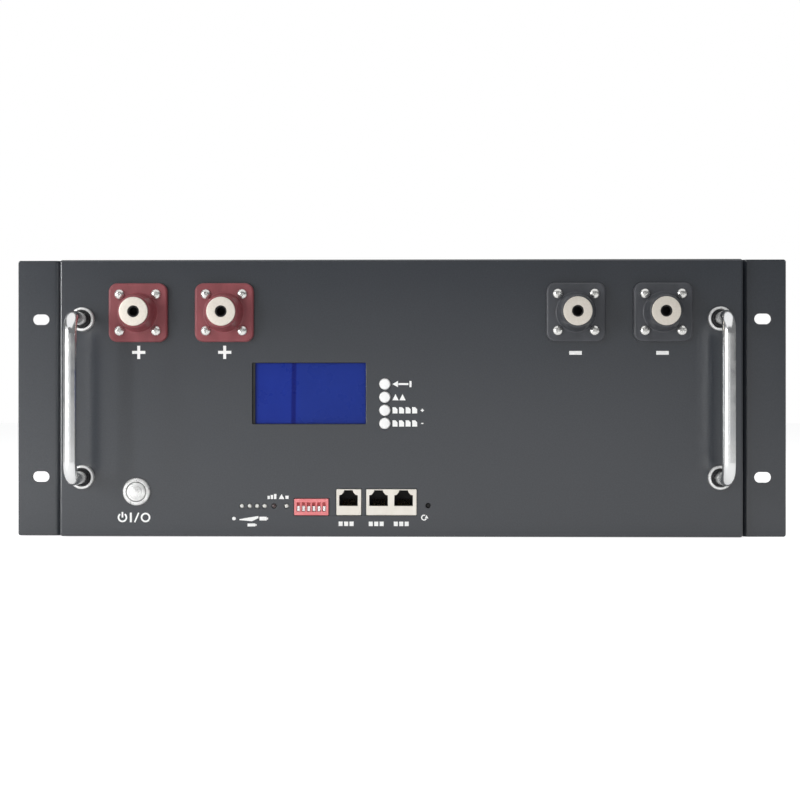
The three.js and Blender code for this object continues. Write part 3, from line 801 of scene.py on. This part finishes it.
def ferrule(side_name, level):
    """A polished cup with a rounded collar in it, close round the bar; the collar's near-black colour
    is painted shade of the cup's deep recess.
    """
    name = f"ferrule_{side_name}_{level}"
    centre = middle(name)
    bore, collar, rim_in, rim_out = 4.25, 5.4, 5.8, 7.7
    back, front = -0.05, -3.5
    cup = [(rim_in - 0.1, back), (rim_in - 0.1, -1.3), (rim_in, -1.5), (rim_in, -2.9),
           (rim_in + 0.12, -3.25), (rim_in + 0.45, front), (rim_out - 0.8, front),
           (rim_out - 0.3, -3.3), (rim_out, -2.8), (rim_out, back)]
    turned_piece(f"cup_{side_name}_{level}", cup, centre, STEEL, 72, replaces=[name])
    ring = [(bore, back)]
    ring += arc((bore + collar) / 2, -4.2, (collar - bore) / 2, 180, 180, 8)
    ring += [(collar, -1.2), (rim_in - 0.15, -1.1), (rim_in - 0.15, back)]
    # The collar is coloured near-black as painted shade of the recess round the bar.
    turned_piece(f"collar_{side_name}_{level}", ring, centre, BLACK_SCREW_AND_SHADE, 72, replaces=[name])


# --- Power terminals ---

FLANGE_THICKNESS = 4.8 * MM
SHANK_RADIUS = 7.0 * MM


def terminal(name):
    """A square flange that rises into a tapered boss, with a plated post through it."""
    node = f"terminal_housing_{name}"
    low, high = span(node)
    centre = middle(node)
    face = high.y - FLANGE_THICKNESS
    boss = face - low.y
    bore = SHANK_RADIUS + GAP
    base, top, fillet, edge, rim = 12.2 * MM - bore, 10.4 * MM - bore, 1.1 * MM, 0.8 * MM, 0.25 * MM
    rise = [(base + fillet * (1 - s), -fillet * (1 - c)) for s, c in quarter(5)]
    rise += [(top - edge * (1 - c), -boss + edge * (1 - s)) for s, c in quarter(5)]
    rise += [(rim, -boss), (0.0, -boss + rim), (0.0, FLANGE_THICKNESS)]
    holes = [(circle(centre.x, centre.z, bore, 64), rise)]
    for x, z in flange_screw_places(name):
        holes.append((circle(x, z, 2.2 * MM, 24), hole_edges(FLANGE_THICKNESS, 0.2 * MM)))
    outer = rectangle(low.x, high.x, low.z, high.z, 5.5 * MM, 10)
    flange_edge = rounded_edges(FLANGE_THICKNESS, 1.3 * MM, steps=5)
    material = RED if name.startswith("positive") else BLACK
    plate_piece(f"housing_{name}", (outer, flange_edge), holes, material, behind(face), [node])
    terminal_post(name)


def terminal_post(name):
    """A shank with a broad contact face, and a threaded hole in it."""
    node = f"terminal_post_{name}"
    low, high = span(node)
    disc, disc_depth, shank = 9.15, 1.8, SHANK_RADIUS / MM
    bolt, pitch, depth = 3.4, 1.25, 13.5
    socket, length = bolt + 0.3, (high.y - low.y) / MM
    post = [(0.0, depth + 1.2), (socket, depth), (socket, 0.25), (socket + 0.25, 0.0),
            (disc - 0.45, 0.0), (disc - 0.13, 0.13), (disc, 0.45), (disc, disc_depth - 0.2),
            (disc - 0.2, disc_depth), (shank, disc_depth), (shank, length - 0.6),
            (shank - 0.6, length), (0.0, length)]
    turned_piece(f"post_{name}", post, middle(node), NICKEL, 72, replaces=[node], y=low.y)
    # The threaded insert is coloured near-black as painted shade of the deep bolt hole.
    wall, floor = bolt + 0.25, depth - 0.1
    thread = [(0.0, floor), (0.0, depth - 1.0), (bolt - 0.5, depth - 1.0)]
    for turn in range(int(depth / pitch) - 1, 0, -1):
        thread += [(bolt, (turn - 0.05) * pitch), (bolt - 0.55, (turn - 0.5) * pitch)]
    thread += [(bolt, 0.6), (wall, 0.35), (wall, floor)]
    turned_piece(f"thread_{name}", thread, middle(node), BLACK_AND_PAINTED_SHADE, 48, replaces=[node], y=low.y)


# --- Display, buttons and power switch. Depths in mm count from the panel's face ---

FLANGE_FRONT = (PANEL_SHEET + GAP) / MM    # where a button's flange starts, behind the panel


def depths(node):
    """Where a node starts and ends."""
    low, high = span(node)
    return (low.y - FACE_Y) / MM, (high.y - FACE_Y) / MM


def display():
    """The window, with a black gasket in the opening; its wide left side is painted shade of the
    opening's left wall.
    """
    low, high = span("lcd_window")
    plate_piece("display_window",
                (box_outline(low, high, 1.0 * MM), rounded_edges(high.y - low.y, 0.2 * MM)), (),
                BLUE, behind(low.y), ["lcd_window"])
    # The gasket's wide left side is painted shade of the opening's shadowed left wall; the thin lip on
    # the other sides is a black frame.
    painted_shade_left, lip, clear, depth = 1.9 * MM, 0.3 * MM, 0.05 * MM, 1.3 * MM
    outer = box_outline(low, high, 0.7 * MM, -LCD_OVERLAP - clear)
    inset = LCD_OVERLAP + lip
    inner = rectangle(low.x + LCD_OVERLAP + painted_shade_left, high.x - inset,
                      low.z + inset, high.z - inset, 0.5 * MM)
    plate_piece("display_gasket", (outer, rounded_edges(depth, 0.1 * MM)),
                [(inner, hole_edges(depth, 0.15 * MM))], BLACK_AND_PAINTED_SHADE, behind(low.y - 0.1 * MM - depth))


def menu_button(number):
    """A round cap with a soft edge, a flange behind the panel and a stem."""
    node = f"menu_button_{number}"
    front, back = depths(node)
    radius, flange, stem, shoulder, edge = 3.5, 4.05, 1.8, 1.1, 0.9
    cap_profile = [(0.0, front)]
    cap_profile += [(radius - shoulder + shoulder * s, front + 0.12 + edge * (1 - c))
                    for s, c in quarter(8, 1)]
    cap_profile += [(radius, FLANGE_FRONT), (flange, FLANGE_FRONT), (flange, FLANGE_FRONT + 1),
                    (stem, FLANGE_FRONT + 1), (stem, back), (0.0, back)]
    turned_piece(f"menu_cap_{number}", cap_profile, middle(node), WHITE, 48, node, [node])


def power_switch():
    """A polished bezel with a stepped ring, on a threaded barrel."""
    node = "power_switch_body"
    front, back = depths(node)
    bezel, barrel, bore, well, pitch = 8.8, 7.8, 6.4, 14, 1.0
    profile = [(bore, front + well), (bore, front + 0.3), (bore + 0.25, front),
               (bezel - 1.1, front), (bezel - 0.5, front + 0.3), (bezel - 0.1, front + 0.9),
               (bezel, front + 1.3), (bezel, -GAP / MM), (barrel, -GAP / MM)]
    along = 0.5
    while along < back - 1:
        profile += [(barrel, along), (barrel - 0.4, along + pitch / 2)]
        along += pitch
    profile += [(barrel, back), (0.0, back), (0.0, front + well)]
    turned_piece("switch_bezel", profile, middle(node), STEEL, 72, replaces=[node])
    power_button(middle(node))


def power_button(centre):
    """A domed push button with a ring-shaped groove."""
    node = "power_switch_button"
    front, back = depths(node)
    radius, dome = 6.1, 0.7
    rim = front + dome
    groove_in, groove_out, wall = 3.7, 4.2, 0.15

    def on_dome(*radii):
        return [(r, front + dome * (r / radius) ** 2) for r in radii]

    (_, inner), (_, outer) = on_dome(groove_in, groove_out)
    profile = on_dome(0.0, 0.9, 1.8, 2.7, 3.4)
    profile += [(groove_in, inner + 0.03), (groove_in + wall, inner + 0.14),
                (groove_out - wall, outer + 0.14), (groove_out, outer + 0.03)]
    profile += on_dome(4.7, 5.2, 5.6)
    profile += [(5.9, rim + 0.15), (radius, rim + 0.6), (radius, back), (0.0, back)]
    turned_piece("switch_cap", profile, centre, STEEL, 72, "power_button", [node])


# --- Indicators, DIP switch, data sockets and reset button ---


def indicators():
    """Six domed tips on one bar behind the panel."""
    radius, proud, seat, back = 1.25, 0.5, 0.3, 4.5
    tip = [(0.0, -proud)] + [(radius * s, seat - proud * c) for s, c in quarter(7, 1)]
    tip += [(radius, back), (0.0, back)]
    for index, x in enumerate(LED_X):
        material = LENS_DARK if index == UNLIT_LED else LENS
        turned_piece(f"indicator_{index + 1}", tip, Vector((x, 0, LED_Z)), material, 32,
                     replaces=["led_light_pipe"])
    bm = bmesh.new()
    block(bm, Vector((PIPE_LOW.x, FACE_Y + 4 * MM, PIPE_LOW.z)), PIPE_HIGH, 0.3 * MM)
    finish_mesh("light_pipe_bar", bm, LENS, replaces=["led_light_pipe"])


def dip_switch():
    """A slotted cover over a solid base, with six levers."""
    node = "dip_switch_body"
    low, high = span(node)
    depth, half_slot, slot_height = 2.4 * MM, 1.2 * MM, 6.0 * MM
    slot_low = span("dip_lever_1")[0].z - GAP
    slots = []
    for number in DIP_LEVERS:
        x = middle(f"dip_lever_{number}").x
        slot = rectangle(x - half_slot, x + half_slot, slot_low, slot_low + slot_height,
                         0.3 * MM, 3)
        slots.append((slot, hole_edges(depth, 0.12 * MM)))
    outer = box_outline(low, high, 0.5 * MM)
    plate_piece("dip_cover", (outer, rounded_edges(depth, 0.3 * MM)), slots, DIP_RED,
                behind(low.y), [node])
    inset = 0.1 * MM
    bm = bmesh.new()
    block(bm, low + Vector((inset, depth, inset)), high - Vector((inset, 0, inset)), 0.2 * MM)
    finish_mesh("dip_base", bm, DIP_RED, replaces=[node])
    for number in DIP_LEVERS:
        dip_lever(number)


def dip_lever(number):
    """A foot that fills the slot's width and a thumb with two ridges."""
    node = f"dip_lever_{number}"
    low, high = span(node)
    height, inset, ridge = high.z - low.z, 0.1 * MM, 0.9 * MM
    bm = bmesh.new()
    block(bm, low + Vector((0, 0.5 * MM, 0)), high, 0.15 * MM, 2)
    for start, end in ((0.06, 0.44), (0.56, 0.94)):
        block(bm, Vector((low.x + inset, low.y, low.z + start * height)),
              Vector((high.x - inset, low.y + ridge, low.z + end * height)), 0.2 * MM)
    finish_mesh(f"dip_thumb_{number}", bm, WHITE, node, [node])


def data_socket(node):
    """An ivory face with its openings, over a dark housing with eight sprung contacts each."""
    low, high = span(node)
    face_depth, back_depth, inset = 2.2 * MM, 1.5 * MM, 0.2 * MM
    openings = []
    for offset in SOCKETS[node]:
        x = low.x + offset * MM
        right = [(x + half * MM, low.z + z * MM) for half, z in SOCKET_OUTLINE]
        openings.append(polygon(mirrored(right, x)))
    plate_piece(f"{node}_face",
                (box_outline(low, high, 0.6 * MM), rounded_edges(face_depth, 0.25 * MM)),
                [(opening, hole_edges(face_depth, 0.15 * MM)) for opening in openings],
                IVORY, behind(low.y), [node])
    depth = high.y - low.y - face_depth - back_depth
    wall = 0.02 * MM
    bm = bmesh.new()
    plate(bm, (box_outline(low, high, 0.4 * MM, -inset), [(0, 0), (0, depth)]),
          [(opening, [(wall, 0), (wall, depth)]) for opening in openings],
          behind(low.y + face_depth))
    block(bm, Vector((low.x + inset, high.y - back_depth, low.z + inset)),
          high - Vector((inset, 0, inset)), 0.2 * MM)
    finish_mesh(f"{node}_shell", bm, BLACK_AND_PAINTED_SHADE, replaces=[node])
    socket_contacts(node, low)


def socket_contacts(node, low):
    wires, pitch, radius, steps, bow = 8, 1.02 * MM, 0.22 * MM, 6, 0.5 * MM
    start, end = Vector((0, 4.0 * MM, 6.5 * MM)), Vector((0, 11.5 * MM, 9.6 * MM))
    bm = bmesh.new()
    for offset in SOCKETS[node]:
        for wire in range(wires):
            foot = low + Vector((offset * MM + (wire - (wires - 1) / 2) * pitch, 0, 0))
            path = []
            for step in range(steps + 1):
                rise = Vector((0, 0, bow * math.sin(math.pi * step / steps)))
                path.append(foot + start.lerp(end, step / steps) + rise)
            sweep(bm, path, radius, 8)
    finish_mesh(f"{node}_contacts", bm, GOLD)


def reset_button():
    """A pin with a flange behind the panel."""
    node = "reset_button"
    front, back = depths(node)
    radius, flange = 1.25, 2.2
    pin = [(0.0, front), (radius - 0.3, front), (radius - 0.08, front + 0.1),
           (radius, front + 0.35), (radius, FLANGE_FRONT), (flange, FLANGE_FRONT),
           (flange, FLANGE_FRONT + 1), (radius, FLANGE_FRONT + 1), (radius, back), (0.0, back)]
    turned_piece("reset_pin", pin, middle(node), BLACK_AND_PAINTED_SHADE, 32, node, [node])


# --- Printed marks: plain pictograms, as thin ink on the panel. Millimetres from the panel's
# middle line and its lower edge.


class Print:
    """Ink shapes gathered into one mesh."""

    def __init__(self):
        self.bm = bmesh.new()

    def shape(self, corners, holes=()):
        profile = [(0.0, -0.05 * MM), (0.0, 0.02 * MM)]
        scaled = [(u * MM, v * MM) for u, v in corners]
        plate(self.bm, (polygon(scaled), profile), [(hole, profile) for hole in holes])

    def stroke(self, x0, z0, x1, z1, width):
        start, end = Vector((x0, z0)), Vector((x1, z1))
        along = (end - start).normalized() * width / 2
        side = Vector((-along.y, along.x))
        self.shape([tuple(start - side), tuple(end - side), tuple(end + side),
                    tuple(start + side)])

    def box(self, x, z, width, height):
        w, h = width / 2, height / 2
        self.shape([(x - w, z - h), (x + w, z - h), (x + w, z + h), (x - w, z + h)])

    def disc(self, x, z, radius):
        self.shape(arc(x, z, radius, 0, 360, 24)[:-1])

    def ring(self, x, z, radius, width):
        self.shape(arc(x, z, radius, 0, 360, 32)[:-1],
                   [circle(x * MM, z * MM, (radius - width) * MM, 32)])

    def open_ring(self, x, z, radius, width, start, angle):
        self.shape(arc(x, z, radius, start, angle, 32)
                   + arc(x, z, radius - width, start, angle, 32)[::-1])

    def plus(self, x, z, size, width):
        self.shape([(x + u, z + v) for u, v in cross(size / 2, width / 2)])

    def page(self, x, z, width, height):
        """A sheet of paper with one corner cut off."""
        left, right, low, high = x - width / 2, x + width / 2, z - height / 2, z + height / 2
        cut = 1.3
        self.shape([(left, low), (right, low), (right, high - cut), (right - cut, high),
                    (left, high)])

    def up_arrow(self, x, z, width, height):
        self.shape([(x - width / 2, z - height / 2), (x + width / 2, z - height / 2),
                    (x, z + height / 2)])


def printed_marks():
    ink = Print()
    for name in TERMINALS:
        x = middle(f"terminal_housing_{name}").x / MM - 0.1
        if name.startswith("positive"):
            ink.plus(x, 118.3, 8.5, 1.9)
        else:
            ink.box(x, 117.8, 8.0, 2.4)
    power_label(ink, middle("power_switch_body").x / MM - 1.6, 12.2)
    for number in MENU_BUTTONS:
        place = middle(f"menu_button_{number}") / MM
        menu_label(ink, number, place.x + 4.8, place.z)
    indicator_labels(ink, LED_X[0] / MM, LED_X[-1] / MM)
    for node, offsets in SOCKETS.items():
        for offset in offsets:
            network_label(ink, span(node)[0].x / MM + offset - 1.5, 8.35)
    reset_x = middle("reset_button").x / MM - 2.6
    ink.open_ring(reset_x, 12.4, 1.9, 0.75, 60, 270)
    ink.up_arrow(reset_x + 1.6, 13.0, 2.4, 2.2)
    finish_mesh("panel_print", ink.bm, INK)


def power_label(ink, x, z):
    """Standby, on and off symbols."""
    ink.open_ring(x - 7.6, z, 3.1, 1.1, 125, 290)
    ink.box(x - 7.6, z + 1.7, 1.1, 3.6)
    ink.box(x - 2.2, z, 1.3, 6.2)
    ink.stroke(x + 0.3, z - 3.1, x + 2.9, z + 3.1, 1.0)
    ink.ring(x + 7.3, z, 3.1, 1.1)


def menu_label(ink, number, x, z):
    """An arrow back to a bar, two triangles, or pages with a plus or a minus sign."""
    height = 4.0
    if number == 1:
        ink.shape([(x, z), (x + 3.6, z - height / 2), (x + 3.6, z + height / 2)])
        ink.box(x + 7.1, z, 6.4, 1.2)
        ink.box(x + 11.6, z, 1.3, height)
        return
    if number == 2:
        for offset in (2.0, 6.5):
            ink.up_arrow(x + offset, z, 4.0, height)
        return
    for page in range(4):
        ink.page(x + 1.7 + page * 4.2, z, 3.2, height)
    if number == 3:
        ink.plus(x + 19.2, z, 2.0, 0.7)
    else:
        ink.box(x + 19.2, z, 1.4, 0.7)


def indicator_labels(ink, first, last):
    """A dot, a widening bar and two battery signs below the lights, three bars, a triangle and
    a square above them."""
    ink.disc(first - 5.1, 11.6, 1.15)
    ink.shape([(first - 1.6, 10.6), (first + 6.5, 9.9), (first + 10.6, 11.9),
               (first + 10.6, 13.3), (first - 1.6, 11.2)])
    for x, z, width, height, tip in ((13.6, 11.6, 4.6, 2.4, 1.3), (6.1, 7.5, 5.0, 1.9, 1.0)):
        ink.box(first + x, z, width, height)
        ink.box(first + x + width / 2 + 0.5, z, 0.8, tip)
    for step in range(3):
        height = 2.0 + 0.6 * step
        ink.box(last - 11.5 + step * 2.1, 24.15 + height / 2, 1.5, height)
    ink.up_arrow(last - 3.2, 25.75, 3.6, 3.2)
    ink.box(last + 0.3, 25.3, 2.0, 2.0)


def network_label(ink, x, z):
    for dx in (-3.5, 0.0, 3.5):
        ink.box(x + dx, z, 2.6, 2.9)


# --- Inner CAD pieces keep their shape and get a finish ---


def inner_finishes():
    looks = {"lcd_module": BOARD, "interface_board": BOARD, "bms_board": BOARD,
             "bms_heat_sink": ALUMINIUM, "power_switch_nut": ALUMINIUM,
             "busbar_carrier_front": BLACK, "busbar_carrier_rear": BLACK}
    looks.update({f"cell_{number:02d}": CELL_WRAP for number in CELLS})
    for node, material in looks.items():
        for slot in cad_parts[node].material_slots:
            slot.material = material


# --- Stage, light and camera ---

VIEW_DISTANCE = 1.245
VIEW_TURN = math.radians(1.5)     # the camera stands a little to the right and looks back
VIEW_X = 32.7 * MM
VIEW_Z = 87.7 * MM
FOCAL_LENGTH = 87.5
SENSOR_WIDTH = 36.0
FLOOR_SIZE = 6.0
FLOOR_DROP = 0.0005
FLOOR_GLOW = 0.32
FLOOR_GLOW_SEEN = 0.80
ROOM_LIGHT = 0.18
WHITE_LIGHT = (1.0, 1.0, 1.0, 1.0)


def stage():
    """A pale floor and room, both brighter to the eye than the light they give."""
    look = Look("studio_floor", "powder_coat", 0.6)
    look.color((0.90, 0.90, 0.895), (0.93, 0.93, 0.925), 0.4).bump(0.02, 0.0002)
    look.shader.inputs["Emission Color"].default_value = WHITE_LIGHT
    ray = look.nodes.new("ShaderNodeLightPath")
    glow = look.nodes.new("ShaderNodeMapRange")
    glow.inputs["To Min"].default_value = FLOOR_GLOW
    glow.inputs["To Max"].default_value = FLOOR_GLOW_SEEN
    look.links.new(ray.outputs["Is Camera Ray"], glow.inputs["Value"])
    look.links.new(glow.outputs["Result"], look.shader.inputs["Emission Strength"])
    bm = bmesh.new()
    bmesh.ops.create_grid(bm, x_segments=2, y_segments=2, size=FLOOR_SIZE)
    mesh = bpy.data.meshes.new("studio_floor")
    bm.to_mesh(mesh)
    bm.free()
    mesh.materials.append(look.material)
    floor = bpy.data.objects.new("studio_floor", mesh)
    floor.location.z = -FLOOR_DROP
    bpy.context.scene.collection.objects.link(floor)

    world = bpy.data.worlds.new("studio")
    world.use_nodes = True
    nodes, links = world.node_tree.nodes, world.node_tree.links
    seen = nodes["Background"]
    seen.inputs["Color"].default_value = WHITE_LIGHT
    room = nodes.new("ShaderNodeBackground")
    room.inputs["Color"].default_value = (0.96, 0.98, 1.0, 1.0)
    room.inputs["Strength"].default_value = ROOM_LIGHT
    path = nodes.new("ShaderNodeLightPath")
    mix = nodes.new("ShaderNodeMixShader")
    links.new(path.outputs["Is Camera Ray"], mix.inputs["Fac"])
    links.new(room.outputs["Background"], mix.inputs[1])
    links.new(seen.outputs["Background"], mix.inputs[2])
    links.new(mix.outputs["Shader"], nodes["World Output"].inputs["Surface"])
    bpy.context.scene.world = world
    bpy.context.scene.view_settings.view_transform = "Standard"


def area_light(name, place, target, size, radiance):
    """A softbox of this brightness. It shows in reflections but not to the camera."""
    data = bpy.data.lights.new(name, "AREA")
    data.shape = "RECTANGLE"
    data.size, data.size_y = size
    data.energy = radiance * math.pi * size[0] * size[1]
    light = bpy.data.objects.new(name, data)
    light.location = place
    light.visible_camera = False
    aim = Vector(target) - Vector(place)
    light.rotation_euler = aim.to_track_quat("-Z", "Y").to_euler()
    bpy.context.scene.collection.objects.link(light)


def lights():
    """Strips and a wall of light on the left, two low boards in front, and one light overhead."""
    target = (0.0, FACE_Y, 0.08)
    area_light("strip_left", (-0.86, FACE_Y - 1.0, 0.16), target, (0.10, 0.8), 24.0)
    area_light("strip_far_left", (-1.20, FACE_Y - 0.75, 0.16), target, (0.14, 0.8), 14.0)
    area_light("wall_left", (-1.35, FACE_Y - 0.9, 0.45), target, (1.6, 0.9), 0.7)
    area_light("front_low", (-0.55, FACE_Y - 2.2, 0.06), (-0.55, FACE_Y, 0.06), (1.9, 0.12), 0.6)
    area_light("front_high", (-0.4, FACE_Y - 2.2, 0.13), (-0.4, FACE_Y, 0.13), (2.2, 0.26), 0.4)
    area_light("overhead", (0.0, FACE_Y - 0.5, 1.5), (0.0, FACE_Y - 0.5, 0.0), (3.4, 3.0), 0.75)


def camera():
    data = bpy.data.cameras.new("camera")
    data.lens = FOCAL_LENGTH
    data.sensor_width = SENSOR_WIDTH
    view = bpy.data.objects.new("camera", data)
    view.location = (VIEW_X, FACE_Y - VIEW_DISTANCE, VIEW_Z)
    view.rotation_euler = (math.pi / 2, 0, VIEW_TURN)
    bpy.context.scene.collection.objects.link(view)
    bpy.context.scene.camera = view


# --- Build ---

camera()
stage()
lights()
front_panel()
chassis_tray()
top_cover()
cover_seal()
for side_name in SIDES:
    rack_ear(side_name)
    handle(side_name)
    for level in LEVELS:
        ferrule(side_name, level)
for terminal_name in TERMINALS:
    terminal(terminal_name)
display()
for button_number in MENU_BUTTONS:
    menu_button(button_number)
power_switch()
indicators()
dip_switch()
for socket_node in SOCKETS:
    data_socket(socket_node)
reset_button()
printed_marks()
all_screws()
inner_finishes()
